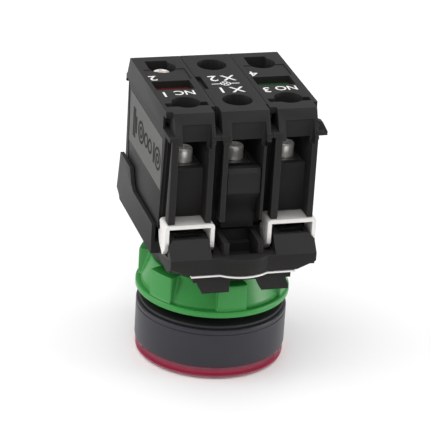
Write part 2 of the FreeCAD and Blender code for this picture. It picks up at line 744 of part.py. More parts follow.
def terminal_clamps():
    x, (width, length, thick) = block_pitch / 2, clamp_plate
    hole = rod(screw_shank_radius + clamp_running, ledge - thick - over, ledge + over, x, -screw_y)
    plate = box(x - width / 2, x + width / 2, -screw_y - length / 2, -screw_y + length / 2,
                ledge - thick, ledge)
    return both_ends(plate.cut(hole))


def fixed_contacts(rests_closed):
    """Strip from under each screw into the chamber, with a contact button that faces the bridge."""
    x, (width, thick) = block_pitch / 2, contact_strip
    z1 = ledge - contact_drop
    radius, rise = contact_button
    strip = box(x - width / 2, x + width / 2, -screw_y - contact_tail, -chamber_half + contact_nose,
                z1 - thick, z1)
    strip = strip.cut(rod(screw_shank_radius + screw_running, z1 - thick - over, z1 + over, x, -screw_y))
    y = -chamber_half + contact_button_inset
    z = z1 if rests_closed else z1 - thick - rise
    button = rod(radius, z, z + rise, x, y)
    return both_ends(strip.fuse(button))


def bridge_level(rests_closed):
    """Underside of the moving bridge: NC rests on the buttons, NO hangs below them."""
    z1 = ledge - contact_drop
    thick, rise = contact_strip[1], contact_button[1]
    if rests_closed:
        return z1 + rise + bridge_rest_gap
    return z1 - thick - rise - button_travel - bridge_open_gap - bridge_size[2]


def contact_bridge(rests_closed):
    x, (width, length, thick) = block_pitch / 2, bridge_size
    z = bridge_level(rests_closed)
    bar = box(x - width / 2, x + width / 2, -length / 2, length / 2, z, z + thick)
    half = plunger_stem / 2 + bridge_play
    web = plunger_web / 2 + bridge_play
    return bar.cut(box(x - half, x + half, -web, web, z - over, z + thick + over))


def plunger(rests_closed):
    """Pin, stem and spring seat in one moulding; a slot in the stem carries the bridge."""
    x, z_bridge = block_pitch / 2, bridge_level(rests_closed)
    half = plunger_stem / 2
    floor = block_foot + chamber_floor
    pin = rod(plunger_pin_radius, yoke_top + seat_gap, floor + plunger_pin_root, x)
    stem = box(x - half, x + half, -half, half, floor + plunger_pin_root / 2, plunger_top)
    head = rod(plunger_stem, plunger_top - plunger_head_height, plunger_top, x)
    slot = box(x - half - over, x + half + over, -half - over, -plunger_web / 2, z_bridge - bridge_play,
               z_bridge + bridge_size[2] + bridge_play)
    return fuse([pin, stem, head]).cut(slot.fuse(at_rear(slot)))


def plunger_spring():
    return coil(plunger_spring_radius, plunger_spring_wire, plunger_spring_turns,
                plunger_top + spring_seat_gap, chamber_top - spring_seat_gap, block_pitch / 2)


# ---------------------------------------------------------------- sheet-metal clips
def leg_starts():
    """Lower X of each of a clip's two legs, in its block's slot."""
    return clip_span[0], clip_span[1] - clip_thickness


def leg_slots():
    """What the collar leaves open for the legs of all four clips."""
    gap = clip_slot_gap
    y0, y1 = clip_front - gap, clip_front + clip_leg_depth + gap
    slots = []
    for slot in (0, 2):
        for start in leg_starts():
            x0 = block_x(slot) + start - gap
            leg = box(x0, x0 + clip_thickness + 2 * gap, y0, y1, clip_toe - gap, hook_top + over)
            slots += [leg, at_rear(leg)]
    return fuse(slots)


def block_clip():
    """Saddle under the pillars of one end, with two legs that grip the collar's hook."""
    top, foot, toe, y0 = clip_top, clip_foot, clip_toe, clip_front
    x0, x1 = clip_span
    plate = box(x0, x1, y0, y0 + clip_depth, foot, top)
    outer = [e for e in plate.Edges if e.BoundBox.XLength < 1e-6 and e.BoundBox.ZLength < 1e-6
             and abs(e.BoundBox.ZMax - top) < 1e-6]
    pieces = [plate.makeFillet(clip_thickness * 0.9, outer)]
    y1 = y0 + clip_leg_depth
    step, half = clip_toe_round, clip_barb / 2
    outline = [(y0, foot + clip_thickness / 4), (y0, toe + step), (y0 + step, toe), (y1 - 2 * step, toe),
               (y1 - half, toe + step), (y1, foot - 4 * half), (y1, foot - 3 * half),
               (y1 - clip_barb, foot - 3.5 * half), (y1 - half, foot + clip_thickness / 4)]
    for x in leg_starts():
        pieces.append(prism_x(outline, x, x + clip_thickness))
    return fuse(pieces)


# ---------------------------------------------------------------- lamp module
def latch_outline():
    """Side outline of the latch: a thumb pad, a hollow curve below it and a foot, as (y, z)."""
    pad_top = ledge + latch_pad_rise
    pad_foot = pad_top - latch_pad_height
    curve_foot = pad_foot - latch_curve_drop
    foot = curve_foot - latch_foot
    bevel_y, bevel_z = latch_pad_bevel
    points = [(-latch_reach + bevel_y, pad_top), (-latch_reach, pad_top - bevel_z), (-latch_reach, pad_foot)]
    for i in range(1, latch_curve_steps + 1):
        share = i / latch_curve_steps
        bend = math.sin(share * math.pi / 2)
        points.append((-latch_reach + latch_curve_depth * bend, pad_foot - latch_curve_drop * share))
    inner = latch_inset - latch_reach
    back = inner + latch_thickness * latch_foot_share
    points += [(inner, foot), (back, foot), (back, curve_foot),
               (-latch_reach + latch_thickness + latch_heel, pad_foot), (-latch_reach + latch_thickness, pad_top)]
    return points


def lamp_latch():
    middle = block_pitch / 2
    lever = prism_x(latch_outline(), middle - lamp_latch_width / 2, middle + lamp_latch_width / 2)
    return lever.fuse(latch_pin(latch_pin_radius, bay_half + latch_pin_hold))


def latch_pin(radius, half_length):
    """Pivot along X at the latch's foot, carried by the two pillars beside it."""
    start = V(block_pitch / 2 - half_length, -latch_pin_y, pillar_bottom + latch_pin_rise)
    return Part.makeCylinder(radius, 2 * half_length, start, V(1, 0, 0))


def lamp_housing():
    shell = block_shell(lamp_hood_span, lamp_opening, lamp_pocket, lamp_bore)
    middle = block_pitch / 2
    bay = box(middle - bay_half, middle + bay_half, -end_reach - over, -end_reach + latch_bay_depth,
              block_foot - over, ledge + hair)
    bay = bay.fuse(latch_pin(latch_pin_radius + latch_pin_running, bay_half + latch_pin_hold + latch_pin_running))
    lamp_hole = rod(led_radius + led_gap, block_foot - over, block_foot + chamber_floor + over, middle)
    width, y0, y1, depth = lamp_side_notch
    pry = box(-over, width, y0, y1, block_top - depth, block_top + over)
    for cut in [bay, at_rear(bay), block_chamber(), lamp_hole, pry] + contact_slots().Solids:
        shell = shell.cut(cut)
    return shell


def circuit_board():
    x, (width, length, thick) = block_pitch / 2, board_size
    return box(x - width / 2, x + width / 2, -length / 2, length / 2, board_foot, board_foot + thick)


def led():
    x = block_pitch / 2
    dome_level = board_foot - led_length + led_radius
    body = rod(led_radius, dome_level, board_foot, x)
    dome = Part.makeSphere(led_radius, V(x, 0, dome_level))
    return body.fuse(dome)


# ---------------------------------------------------------------- build
def place(shape, slot):
    moved = shape.copy()
    moved.translate(V(block_x(slot), 0, 0))
    return moved


os.makedirs("parts", exist_ok=True)

save("bezel", bezel())
save("panel_gasket", gasket())
save("threaded_shank", shank())
save("protective_boot", boot())
save("red_lens", lens())
save("lens_holder", lens_holder())
save("return_spring", return_spring())
save("drive_yoke", yoke())
save("fixing_nut", fixing_nut())
save("locking_ring", locking_ring())
save("spring_plate", spring_plate())
save("fixing_collar", collar())

for slot, name, rests_closed in ((0, "nc", True), (2, "no", False)):
    housing = contact_housing()
    if slot == 2:
        housing = housing.fuse(coupling_lug())
    save(name + "_housing", place(housing, slot))
    save(name + "_identity_strip", place(identity_strip(), slot))
    save(name + "_colour_tag", place(colour_tag(), slot))
    lift = screw_back_out if rests_closed else 0.0
    save(name + "_front_screw", place(terminal_screw(-1, 0.0, screw_head_radius), slot))
    save(name + "_rear_screw", place(terminal_screw(1, lift, screw_head_radius), slot))
    save(name + "_terminal_clamps", place(terminal_clamps(), slot))
    save(name + "_fixed_contacts", place(fixed_contacts(rests_closed), slot))
    save(name + "_contact_bridge", place(contact_bridge(rests_closed), slot))
    save(name + "_plunger", place(plunger(rests_closed), slot))
    save(name + "_plunger_spring", place(plunger_spring(), slot))
    save(name + "_front_clip", place(block_clip(), slot))
    save(name + "_rear_clip", place(at_rear(block_clip()), slot))

save("lamp_housing", place(lamp_housing(), 1))
save("lamp_front_screw", place(terminal_screw(-1, 0.0, screw_head_radius), 1))
save("lamp_rear_screw", place(terminal_screw(1, 0.0, screw_head_radius), 1))
save("lamp_terminal_clamps", place(terminal_clamps(), 1))
save("lamp_front_latch", place(lamp_latch(), 1))
save("lamp_rear_latch", place(at_rear(lamp_latch()), 1))
save("lamp_circuit_board", place(circuit_board(), 1))
save("lamp_led", place(led(), 1))
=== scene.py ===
# %% [markdown]
# # An illuminated panel push button with three modules
# The object stands on its button, as it would on a bench. The CAD model holds every size, place and
# joint. This script adds rounded edges, turned surfaces, printed marks and finishes to it, in metres.

# %% Load the frame
import json
import math

import bmesh
import bpy
import numpy as np
from mathutils import Matrix, Vector

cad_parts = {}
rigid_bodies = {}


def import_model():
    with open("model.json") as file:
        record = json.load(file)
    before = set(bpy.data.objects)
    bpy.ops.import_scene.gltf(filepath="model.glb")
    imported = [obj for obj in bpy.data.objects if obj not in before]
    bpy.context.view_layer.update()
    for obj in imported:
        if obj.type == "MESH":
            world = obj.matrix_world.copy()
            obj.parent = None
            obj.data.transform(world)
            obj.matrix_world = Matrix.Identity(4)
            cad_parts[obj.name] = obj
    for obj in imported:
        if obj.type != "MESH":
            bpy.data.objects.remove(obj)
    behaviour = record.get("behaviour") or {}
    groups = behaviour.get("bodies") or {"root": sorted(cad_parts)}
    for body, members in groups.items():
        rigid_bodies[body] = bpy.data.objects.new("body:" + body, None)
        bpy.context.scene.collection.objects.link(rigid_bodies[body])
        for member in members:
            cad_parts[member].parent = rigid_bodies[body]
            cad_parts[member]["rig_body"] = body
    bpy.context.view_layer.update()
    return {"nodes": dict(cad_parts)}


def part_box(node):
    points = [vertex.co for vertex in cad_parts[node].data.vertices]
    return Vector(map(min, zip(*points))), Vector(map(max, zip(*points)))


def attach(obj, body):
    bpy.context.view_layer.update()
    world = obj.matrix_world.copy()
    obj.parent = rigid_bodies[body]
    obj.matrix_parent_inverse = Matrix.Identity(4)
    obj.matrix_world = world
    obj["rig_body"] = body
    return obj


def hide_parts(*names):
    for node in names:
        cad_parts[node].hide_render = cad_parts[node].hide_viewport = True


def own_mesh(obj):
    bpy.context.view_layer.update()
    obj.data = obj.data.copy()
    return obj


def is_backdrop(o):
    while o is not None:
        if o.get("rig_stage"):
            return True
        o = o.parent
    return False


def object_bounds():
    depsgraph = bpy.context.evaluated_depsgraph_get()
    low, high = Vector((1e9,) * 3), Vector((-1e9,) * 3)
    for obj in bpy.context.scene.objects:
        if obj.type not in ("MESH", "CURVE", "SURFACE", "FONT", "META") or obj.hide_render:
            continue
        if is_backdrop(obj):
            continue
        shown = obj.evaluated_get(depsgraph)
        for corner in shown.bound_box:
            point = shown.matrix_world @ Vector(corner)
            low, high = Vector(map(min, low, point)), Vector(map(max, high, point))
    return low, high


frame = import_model()
nodes = frame["nodes"]
MM = 0.001

# %% [markdown]
# ## The camera
# A long lens from the front left and above keeps the modules' edges nearly parallel, as in a catalogue.
# The camera's own axes come from three turns: yaw about the object's axis, pitch down, and a little roll.

# %% Camera
YAW, PITCH, ROLL = (math.radians(a) for a in (16.66, 24.01, 3.51))
CAMERA_PLACE = Vector((-128.2, -427.6, 216.0)) * MM
LENS_MM = 209.302326
NEAREST, FARTHEST = 0.01, 10.0


def camera_axes(yaw, pitch, roll):
    """Right, up and back vectors: forward is the heading tipped down by the pitch, and the other two
    are square to it, turned about it by the roll."""
    forward = Vector((math.sin(yaw) * math.cos(pitch), math.cos(yaw) * math.cos(pitch), -math.sin(pitch)))
    level = Vector((math.cos(yaw), -math.sin(yaw), 0))
    raised = level.cross(forward)
    right = math.cos(roll) * level + math.sin(roll) * raised
    up = math.cos(roll) * raised - math.sin(roll) * level
    return right, up, -forward


camera = bpy.data.objects.new("camera", bpy.data.cameras.new("camera"))
bpy.context.scene.collection.objects.link(camera)
axes = camera_axes(YAW, PITCH, ROLL)
camera.matrix_world = Matrix.Translation(CAMERA_PLACE) @ Matrix(axes).transposed().to_4x4()
camera.data.lens = LENS_MM
camera.data.clip_start, camera.data.clip_end = NEAREST, FARTHEST
bpy.context.scene.camera = camera
print("camera lens mm", round(LENS_MM, 1))

# %% [markdown]
# ## One way to add a shader node
# Every finish below is a small graph. One helper adds a node, sets its options, and fills each input
# with a value or with a link from another node's output. Colours are written as sRGB hex, as on a
# paint card, and one function turns them into the linear light values that shaders work in.

# %% Shader helpers
def linear(code):
    """Linear RGBA of an sRGB hex colour: each channel is undone by the sRGB curve."""
    channels = np.array([int(code[i:i + 2], 16) for i in (1, 3, 5)]) / 255
    curve = np.where(channels <= 0.04045, channels / 12.92, ((channels + 0.055) / 1.055) ** 2.4)
    return (*curve, 1.0)


def add(tree, kind, inputs=None, **settings):
    """Adds a node of this kind with its settings, and fills its inputs with values or links."""
    node = tree.nodes.new(kind)
    for name, value in settings.items():
        setattr(node, name, value)
    for name, value in (inputs or {}).items():
        if isinstance(value, bpy.types.NodeSocket):
            tree.links.new(value, node.inputs[name])
        else:
            node.inputs[name].default_value = value
    return node


def new_material(name):
    """A material with an empty graph, its output node, and the piece's own Object coordinates."""
    material = bpy.data.materials.new(name)
    material.use_nodes = True
    tree = material.node_tree
    tree.nodes.clear()
    place = add(tree, "ShaderNodeTexCoord").outputs["Object"]
    return material, tree, place


def per_mm(size):
    """Noise scale, in features per metre, for features of this many millimetres."""
    return 1 / (size * MM)


# %% [markdown]
# ## Moulded plastics
# Nearly everything here is injection moulded. Such a surface has three scales of detail: a colour that drifts
# slightly over centimetres, where the melt flowed, a spark-eroded grain of about 0.2 mm from the steel of the
# mould, and paler edges, which are a painted highlight along each edge with a little wear from handling. The
# grain is drawn at 0.35 mm, because a finer one would not show. The paler edges come from the Bevel node: near
# an edge its averaged normal leans away from the true one, and that lean is the mask.

# %% Moulded plastic
def moulded(name, colour, flow, edge_highlight_and_wear, roughness, grain_mm=0.35, grain_depth=0.012, edge_mm=0.2, gloss=0.5,
            painted_top_light=None):
    """Plastic that drifts between two colours, with grain in its gloss and relief, and paler edges, painted as
    a highlight with a little wear. Faces that look up take a lighter colour, when one is given: painted light
    from above."""
    material, tree, place = new_material(name)
    drift = add(tree, "ShaderNodeTexNoise", {"Vector": place, "Scale": per_mm(14), "Detail": 3.0})
    body = add(tree, "ShaderNodeMix", {"Factor": drift.outputs["Fac"], "A": linear(colour), "B": linear(flow)},
               data_type="RGBA")
    # Painted light from above: faces that look up are mixed towards a lighter colour by the height of their
    # normal.
    if painted_top_light:
        up = add(tree, "ShaderNodeSeparateXYZ",
                 {"Vector": add(tree, "ShaderNodeTexCoord").outputs["Normal"]}).outputs["Z"]
        top_light_mask = add(tree, "ShaderNodeMapRange", {"Value": up, "From Min": 0.1, "From Max": 0.7})
        body = add(tree, "ShaderNodeMix", {"Factor": top_light_mask.outputs["Result"], "A": body.outputs["Result"],
                                           "B": linear(painted_top_light)}, data_type="RGBA")
    # Painted highlight along the edges, with a little wear: the Bevel node's lean paints them paler.
    near = add(tree, "ShaderNodeBevel", {"Radius": edge_mm * MM}, samples=4)
    true = add(tree, "ShaderNodeNewGeometry")
    lean = add(tree, "ShaderNodeVectorMath", {0: near.outputs["Normal"], 1: true.outputs["Normal"]},
               operation="DOT_PRODUCT")
    edge_highlight_and_wear_mask = add(tree, "ShaderNodeMapRange", {"Value": lean.outputs["Value"], "From Min": 0.99, "From Max": 0.78,
                                           "To Min": 0.0, "To Max": 0.55})
    paint = add(tree, "ShaderNodeMix", {"Factor": edge_highlight_and_wear_mask.outputs["Result"], "A": body.outputs["Result"],
                                        "B": linear(edge_highlight_and_wear)}, data_type="RGBA")
    grain = add(tree, "ShaderNodeTexNoise", {"Vector": place, "Scale": per_mm(grain_mm), "Detail": 2.0})
    matt = add(tree, "ShaderNodeMapRange", {"Value": grain.outputs["Fac"], "To Min": roughness - 0.06,
                                            "To Max": roughness + 0.06})
    relief = add(tree, "ShaderNodeBump", {"Height": grain.outputs["Fac"], "Distance": grain_depth * MM,
                                          "Strength": 0.6})
    shader = add(tree, "ShaderNodeBsdfPrincipled",
                 {"Base Color": paint.outputs["Result"], "Roughness": matt.outputs["Result"],
                  "Specular IOR Level": gloss, "Normal": relief.outputs["Normal"]})
    add(tree, "ShaderNodeOutputMaterial", {"Surface": shader.outputs["BSDF"]})
    return material


# Glass-filled polyamide: matt, nearly black, a trace warm. It scatters light softly off its grain.
# Its lighter colour for faces that look up is painted light from above.
polyamide_black = moulded("polyamide_black_spark_eroded", "#1f1e1e", "#262524", "#454341", 0.5, gloss=0.12,
                          painted_top_light="#2b2a2a")
# The lamp module's latches come from a smoother part of the mould, so they shine a little more.
# Here too the lighter colour for faces that look up is painted light from above.
polyamide_latch = moulded("polyamide_latch_moulded", "#1c1c1d", "#232324", "#3c3b3c", 0.45, gloss=0.12,
                          painted_top_light="#2a2a2b")
# Polycarbonate head: a dark blue-grey with a fine satin.
polycarbonate_grey = moulded("polycarbonate_blue_grey_satin", "#26242b", "#2d2b33", "#46444d", 0.38,
                             grain_mm=0.25, grain_depth=0.006, gloss=0.35)
# Polyamide nut, dyed through in green: semi-gloss.
polyamide_green = moulded("polyamide_green_moulded", "#22802f", "#2b8e3b", "#62b56e", 0.36,
                          grain_depth=0.008, gloss=0.5)
# Natural acetal for what slides: slippery, greyish white.
acetal_grey = moulded("acetal_grey_moulded", "#8c8d90", "#989a9c", "#b4b5b7", 0.34, grain_depth=0.006)
# Nitrile rubber gasket: dead black with a dusty bloom.
nitrile_black = moulded("nitrile_rubber_moulded", "#121212", "#1a1a1b", "#2a2a2b", 0.62, grain_mm=0.5)
# Coloured tags at the bottom of the windows: the red says normally closed, the green normally open.
tag_red = moulded("polyamide_tag_dark_red", "#4a1512", "#551b17", "#6e2d28", 0.4)
tag_green = moulded("polyamide_tag_dark_green", "#17401f", "#1d4a26", "#2f6138", 0.4)
print("moulded plastics", len(bpy.data.materials))

# %% [markdown]
# ## Metals
# A metal has no colour of its own under its surface: its base colour is its mirror colour, and its finish
# is in the roughness. Rolled strip has fine streaks along its length, a turned screw has fine rings, and
# plating dulls both. Stretched noise gives the streaks: its scale is far larger across them than along.
# The clips' strip and the screws are only about half metallic, which gives them a pale satin.

# %% Metals
def worked_metal(name, colour, dull, roughness, streak_mm, along, depth=0.004, metal=1.0):
    """Metal with streaks streak_mm wide: noise stretched by a Mapping node along one axis. Where a finish
    is so fine that it scatters light as paper does, metal is the share that still mirrors."""
    material, tree, place = new_material(name)
    stretch = tuple(0.06 if i == along else 1.0 for i in range(3))
    laid = add(tree, "ShaderNodeMapping", {"Vector": place, "Scale": stretch})
    streak = add(tree, "ShaderNodeTexNoise", {"Vector": laid.outputs["Vector"], "Scale": per_mm(streak_mm),
                                              "Detail": 4.0})
    cloud = add(tree, "ShaderNodeTexNoise", {"Vector": place, "Scale": per_mm(1.5), "Detail": 2.0})
    skin = add(tree, "ShaderNodeMix", {"Factor": cloud.outputs["Fac"], "A": linear(colour), "B": linear(dull)},
               data_type="RGBA")
    gloss = add(tree, "ShaderNodeMapRange", {"Value": streak.outputs["Fac"], "To Min": roughness - 0.08,
                                             "To Max": roughness + 0.1})
    relief = add(tree, "ShaderNodeBump", {"Height": streak.outputs["Fac"], "Distance": depth * MM,
                                          "Strength": 0.5})
    shader = add(tree, "ShaderNodeBsdfPrincipled",
                 {"Base Color": skin.outputs["Result"], "Metallic": metal, "Roughness": gloss.outputs["Result"],
                  "Normal": relief.outputs["Normal"]})
    add(tree, "ShaderNodeOutputMaterial", {"Surface": shader.outputs["BSDF"]})
    return material


# Stainless spring strip, tumbled bright after bending: the clips and the spring plate.
spring_strip = worked_metal("stainless_strip_tumbled", "#e6e4e1", "#dad8d5", 0.46, 0.12, 0, 0.002, 0.5)
# Steel screws, turned and nickel plated.
nickel_turned = worked_metal("steel_turned_nickel_plated", "#fbf8f5", "#f0ece8", 0.38, 0.2, 2, 0.002, 0.55)
# Steel clamp plates, stamped and zinc plated.
zinc_stamped = worked_metal("steel_stamped_zinc_plated", "#b5b3b0", "#9d9b98", 0.38, 0.3, 0)
# Brass contact strips, stamped, with the silver buttons in the same piece.
brass_stamped = worked_metal("brass_stamped", "#c9a961", "#b79552", 0.32, 0.25, 1)
# Drawn spring wire.
wire_drawn = worked_metal("steel_wire_drawn", "#b9b9bb", "#a5a5a8", 0.28, 0.15, 2)
print("with metals", len(bpy.data.materials))

# %% [markdown]
# ## Clear and coloured plastics
# The boot is soft clear silicone rubber, and its face is left clear. Its side is painted by height with light:
# a pale painted highlight at the front edge, the lens's crimson glow painted behind it, and a dimmer painted
# mauve at the bezel, where less of the glow shows. The lens is polycarbonate, dyed crimson and solid to the
# eye. It gives off a little light of its own, which stands for the light that the real one passes on.

# %% Clear materials
def clear_plastic(name, colour, cloud_colour, roughness, transmission, ior, **extra):
    """Tinted transparent plastic whose clearness drifts with a soft cloud a few millimetres wide."""
    material, tree, place = new_material(name)
    cloud = add(tree, "ShaderNodeTexNoise", {"Vector": place, "Scale": per_mm(5), "Detail": 2.0})
    tint = add(tree, "ShaderNodeMix", {"Factor": cloud.outputs["Fac"], "A": linear(colour),
                                       "B": linear(cloud_colour)}, data_type="RGBA")
    ripple = add(tree, "ShaderNodeBump", {"Height": cloud.outputs["Fac"], "Distance": 0.01 * MM,
                                          "Strength": 0.4})
    shader = add(tree, "ShaderNodeBsdfPrincipled",
                 {"Base Color": tint.outputs["Result"], "Roughness": roughness, "IOR": ior,
                  "Transmission Weight": transmission, "Normal": ripple.outputs["Normal"], **extra})
    add(tree, "ShaderNodeOutputMaterial", {"Surface": shader.outputs["BSDF"]})
    return material


def boot_silicone(name, front_mm, rim_mm, lip_mm, rear_mm, inner_mm, outer_mm):
    """Silicone that is clear on its face and tinted on its side, from the radius inner_mm to outer_mm. The side
    is painted with light: the lens's crimson glow, painted in. It is painted pale, a painted highlight, from
    the front edge up to the height rim_mm, and turns to a dimmer painted mauve, where less of the glow shows,
    from lip_mm to the bezel at rear_mm."""
    material, tree, place = new_material(name)
    height = add(tree, "ShaderNodeSeparateXYZ", {"Vector": place}).outputs["Z"]
    flat = add(tree, "ShaderNodeVectorMath", {0: place, 1: (1.0, 1.0, 0.0)}, operation="MULTIPLY")
    radius = add(tree, "ShaderNodeVectorMath", {0: flat.outputs["Vector"]}, operation="LENGTH")
    side = add(tree, "ShaderNodeMapRange", {"Value": radius.outputs["Value"], "From Min": inner_mm * MM,
                                            "From Max": outer_mm * MM, "To Min": 0.97, "To Max": 0.66})
    rim = add(tree, "ShaderNodeMapRange", {"Value": height, "From Min": rim_mm * MM, "From Max": front_mm * MM})
    lip = add(tree, "ShaderNodeMapRange", {"Value": height, "From Min": lip_mm * MM, "From Max": rear_mm * MM})
    # Painted light: the lens's crimson glow, dimming to a painted mauve near the bezel.
    wall = add(tree, "ShaderNodeMix", {"Factor": lip.outputs["Result"], "A": linear("#d23a60"),
                                       "B": linear("#9a7582")}, data_type="RGBA")
    # Painted highlight: a pale band along the front edge.
    paint = add(tree, "ShaderNodeMix", {"Factor": rim.outputs["Result"], "A": wall.outputs["Result"],
                                        "B": linear("#fbf2f4")}, data_type="RGBA")
    cloud = add(tree, "ShaderNodeTexNoise", {"Vector": place, "Scale": per_mm(3), "Detail": 2.0})
    ripple = add(tree, "ShaderNodeBump", {"Height": cloud.outputs["Fac"], "Distance": 0.01 * MM,
                                          "Strength": 0.4})
    shader = add(tree, "ShaderNodeBsdfPrincipled",
                 {"Base Color": paint.outputs["Result"], "Roughness": 0.1, "IOR": 1.05,
                  "Transmission Weight": side.outputs["Result"], "Normal": ripple.outputs["Normal"]})
    add(tree, "ShaderNodeOutputMaterial", {"Surface": shader.outputs["BSDF"]})
    return material


RIM_BAND, LIP_BAND, SIDE_BAND = 1.1, (1.5, 0.4), (1.5, 0.6)
boot_low, boot_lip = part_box("protective_boot")[0].z / MM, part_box("bezel")[0].z / MM
boot_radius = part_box("protective_boot")[1].y / MM
silicone_painted_glow = boot_silicone("silicone_boot_painted_lens_glow", boot_low, boot_low + RIM_BAND,
                               boot_lip - LIP_BAND[0], boot_lip - LIP_BAND[1],
                               boot_radius - SIDE_BAND[0], boot_radius - SIDE_BAND[1])
polycarbonate_red = clear_plastic("polycarbonate_lens_crimson", "#b0082f", "#a00729", 0.3, 0.0, 1.58,
                                  **{"Emission Color": linear("#c8103a"), "Emission Strength": 0.28})
epoxy_lamp = clear_plastic("epoxy_lamp_tinted", "#e8a0a0", "#e08f8f", 0.15, 0.7, 1.5)
board_green = moulded("epoxy_glass_board_masked", "#12522a", "#176033", "#2c7c4a", 0.3)
print("all finishes", len(bpy.data.materials))

# %% [markdown]
# ## From the CAD piece to a moulded one
# A real moulding has no knife edge: the mould's own cutter leaves a radius of 0.1 to 0.3 mm on each. The
# CAD piece has none, and its mesh is loose triangles. So a copy is joined up, its flat faces are made
# whole again, and a Bevel modifier rounds what is left. The copy then stands for the CAD piece.

# %% Rounded copies
SMOOTH_ABOVE = math.radians(28)
FLAT_WITHIN = math.radians(0.4)
JOIN_WITHIN = 0.0005 * MM
BEVEL_STEPS = 2
BLOCKS, ENDS = ("nc", "lamp", "no"), ("front", "rear")


def body_of(node):
    """The moving body that a CAD node belongs to."""
    return nodes[node]["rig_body"]


def rounded(node, edge_mm, material):
    """A joined copy of a CAD node with all its edges rounded by edge_mm, which replaces the node."""
    mesh = nodes[node].data.copy()
    work = bmesh.new()
    work.from_mesh(mesh)
    bmesh.ops.remove_doubles(work, verts=work.verts, dist=JOIN_WITHIN)
    bmesh.ops.dissolve_limit(work, angle_limit=FLAT_WITHIN, verts=work.verts, edges=work.edges,
                             delimit={"NORMAL"})
    work.to_mesh(mesh)
    work.free()
    mesh.shade_smooth()
    piece = bpy.data.objects.new(node + "_moulded", mesh)
    bpy.context.scene.collection.objects.link(piece)
    mesh.materials.clear()
    mesh.materials.append(material)
    bevel = piece.modifiers.new("edges", "BEVEL")
    bevel.width = edge_mm * MM
    bevel.segments = BEVEL_STEPS
    bevel.limit_method = "ANGLE"
    bevel.angle_limit = SMOOTH_ABOVE
    bevel.harden_normals = True
    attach(piece, body_of(node))
    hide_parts(node)


# Edge radius in millimetres, finish, and the pieces that have both.
MOULDED = (
    (0.12, polyamide_black, ("nc_housing", "no_housing", "lamp_housing", "fixing_collar", "locking_ring")),
    (0.15, polyamide_latch, ("lamp_front_latch", "lamp_rear_latch")),
    (0.1, spring_strip, ("nc_front_clip", "nc_rear_clip", "no_front_clip", "no_rear_clip")),
    (0.06, polyamide_black, ("nc_identity_strip", "no_identity_strip")),
    (0.12, nickel_turned, [block + "_" + end + "_screw" for block in BLOCKS for end in ENDS]),
)
for edge_mm, material, covered in MOULDED:
    for node in covered:
        rounded(node, edge_mm, material)

# %% [markdown]
# ## Pieces that keep their CAD shape
# Springs, contacts, the board and the sliding pieces inside are seen only when the modules come apart.
# Their CAD shapes are right as they are, and each gets its own real finish.

# %% Finishes for the CAD nodes that stay
kept = {
    "threaded_shank": polycarbonate_grey, "lens_holder": acetal_grey, "drive_yoke": acetal_grey,
    "return_spring": wire_drawn, "spring_plate": spring_strip, "lamp_circuit_board": board_green,
    "lamp_led": epoxy_lamp, "lamp_terminal_clamps": zinc_stamped, "nc_colour_tag": tag_red,
    "no_colour_tag": tag_green,
}
for block in ("nc", "no"):
    kept[block + "_terminal_clamps"] = zinc_stamped
    kept[block + "_fixed_contacts"] = brass_stamped
    kept[block + "_contact_bridge"] = brass_stamped
    kept[block + "_plunger"] = acetal_grey
    kept[block + "_plunger_spring"] = wire_drawn
for node, material in kept.items():
    nodes[node].data.materials.clear()
    nodes[node].data.materials.append(material)
print("kept nodes", len(kept))

# %% [markdown]
# ## Turned pieces
# The bezel, gasket, boot and lens are bodies of revolution. Each is a closed outline in (radius, height),
# carried round the axis. A corner with a radius is replaced by an arc that touches both of its sides.

# %% Turning
AROUND, MERGE_WITHIN = 256, 0.001 * MM


def eased(corners, radii, steps=5):
    """Closed outline with each corner rounded: points run along a quadratic curve from one tangent point
    to the other, with the corner as its control point."""
    corners = np.array(corners, float)
    before, after = np.roll(corners, 1, 0) - corners, np.roll(corners, -1, 0) - corners
    reach = np.array(radii, float)[:, None]
    limit = 0.45 * np.minimum(np.linalg.norm(before, axis=1), np.linalg.norm(after, axis=1))[:, None]
    reach = np.minimum(reach, limit)
    start = corners + before / np.linalg.norm(before, axis=1)[:, None] * reach
    stop = corners + after / np.linalg.norm(after, axis=1)[:, None] * reach
    t = np.linspace(0, 1, steps)[None, :, None]
    curve = (1 - t) ** 2 * start[:, None] + 2 * t * (1 - t) * corners[:, None] + t ** 2 * stop[:, None]
    return curve.reshape(-1, 2)


def from_grid(name, points, body, material):
    """Quad mesh of a grid of points (rows, columns, 3) in millimetres, joined up along its rows and its
    columns. Double points, such as poles, are merged."""
    rows, columns = points.shape[:2]
    index = np.arange(rows * columns).reshape(rows, columns)
    upper = np.roll(index, -1, 0)
    quads = np.stack([index, np.roll(index, -1, 1), np.roll(upper, -1, 1), upper], -1).reshape(-1, 4)
    mesh = bpy.data.meshes.new(name)
    mesh.from_pydata((points.reshape(-1, 3) * MM).tolist(), [], quads.tolist())
    work = bmesh.new()
    work.from_mesh(mesh)
    bmesh.ops.remove_doubles(work, verts=work.verts, dist=MERGE_WITHIN)
    bmesh.ops.recalc_face_normals(work, faces=work.faces)
    work.to_mesh(mesh)
    work.free()
    mesh.shade_smooth()
    mesh.materials.append(material)
    piece = bpy.data.objects.new(name, mesh)
    bpy.context.scene.collection.objects.link(piece)
    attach(piece, body)
    return piece


def turned(name, outline, body, material):
    """Body of revolution of a closed outline: (r cos a, r sin a, z) for every angle a."""
    angle = np.linspace(0, 2 * np.pi, AROUND, endpoint=False)
    radius, height = outline[:, :1], outline[:, 1:]
    points = np.stack([radius * np.cos(angle), radius * np.sin(angle), height + 0 * angle], -1)
    return from_grid(name, points, body, material)


def reach_of(node):
    """Outer radius, lowest Z and highest Z of a CAD node, in millimetres."""
    low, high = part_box(node)
    return high.y / MM, low.z / MM, high.z / MM


print("angles round a turned piece", AROUND)

